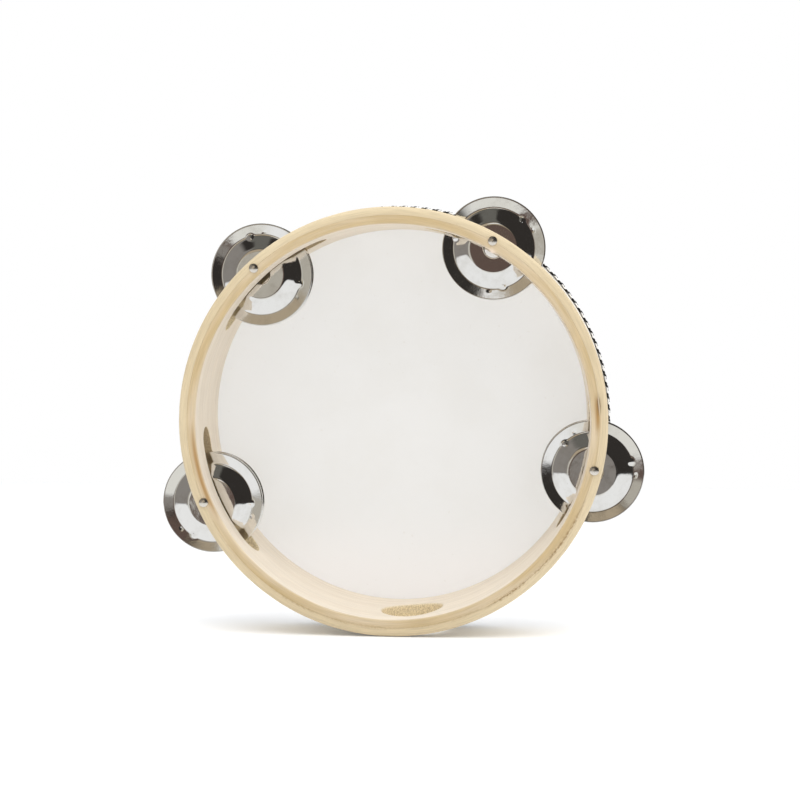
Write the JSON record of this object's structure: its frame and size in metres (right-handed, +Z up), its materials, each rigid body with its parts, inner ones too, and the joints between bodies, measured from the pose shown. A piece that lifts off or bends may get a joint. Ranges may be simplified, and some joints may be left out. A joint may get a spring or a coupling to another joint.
{
  "type": "wooden tambourine",
  "caption": "Round hand-held wooden tambourine: shallow bent-wood hoop with a taut skin head on one side, pairs of stamped metal jingles on nails in slots, a thumb hole and a braid trim.",
  "frame": {"origin": "on the floor under the middle of the standing tambourine's bounding box, at the foot of the braid", "axes": "+Z up, +Y along the hoop's axis from the open side to the head, +X to the right seen from the open side"},
  "size_m": [0.173, 0.0414, 0.1565],
  "materials": {
    "outer_wood": "clear satin lacquer on pale birch",
    "inner_wood": "clear satin lacquer on pale birch",
    "skin": "smooth off-white film, slightly translucent",
    "braid_yarn": "woven black and white yarn",
    "bright_steel": "bright drawn steel",
    "nickel": "bright nickel plate on stamped steel"
  },
  "bodies": {
    "hoop": {"hoop_outer_strip": "outer_wood", "hoop_inner_strip": "inner_wood", "drumhead": "skin", "braid_trim": "braid_yarn", "nail_1": "bright_steel", "nail_2": "bright_steel", "nail_3": "bright_steel", "nail_4": "bright_steel"},
    "jingle_1_front": {"jingle_1_front": "nickel"},
    "jingle_1_rear": {"jingle_1_rear": "nickel"},
    "jingle_2_front": {"jingle_2_front": "nickel"},
    "jingle_2_rear": {"jingle_2_rear": "nickel"},
    "jingle_3_front": {"jingle_3_front": "nickel"},
    "jingle_3_rear": {"jingle_3_rear": "nickel"},
    "jingle_4_front": {"jingle_4_front": "nickel"},
    "jingle_4_rear": {"jingle_4_rear": "nickel"}
  },
  "joints": [
    {"name": "jingle_1_front_slide", "type": "slide", "parent": "hoop", "child": "jingle_1_front", "axis": [0, 1, 0], "range_m": [-0.00105, 0.00105]},
    {"name": "jingle_1_rear_slide", "type": "slide", "parent": "hoop", "child": "jingle_1_rear", "axis": [0, 1, 0], "range_m": [-0.00105, 0.00105]},
    {"name": "jingle_2_front_slide", "type": "slide", "parent": "hoop", "child": "jingle_2_front", "axis": [0, 1, 0], "range_m": [-0.00105, 0.00105]},
    {"name": "jingle_2_rear_slide", "type": "slide", "parent": "hoop", "child": "jingle_2_rear", "axis": [0, 1, 0], "range_m": [-0.00105, 0.00105]},
    {"name": "jingle_3_front_slide", "type": "slide", "parent": "hoop", "child": "jingle_3_front", "axis": [0, 1, 0], "range_m": [-0.00105, 0.00105]},
    {"name": "jingle_3_rear_slide", "type": "slide", "parent": "hoop", "child": "jingle_3_rear", "axis": [0, 1, 0], "range_m": [-0.00105, 0.00105]},
    {"name": "jingle_4_front_slide", "type": "slide", "parent": "hoop", "child": "jingle_4_front", "axis": [0, 1, 0], "range_m": [-0.00105, 0.00105]},
    {"name": "jingle_4_rear_slide", "type": "slide", "parent": "hoop", "child": "jingle_4_rear", "axis": [0, 1, 0], "range_m": [-0.00105, 0.00105]}
  ]
}
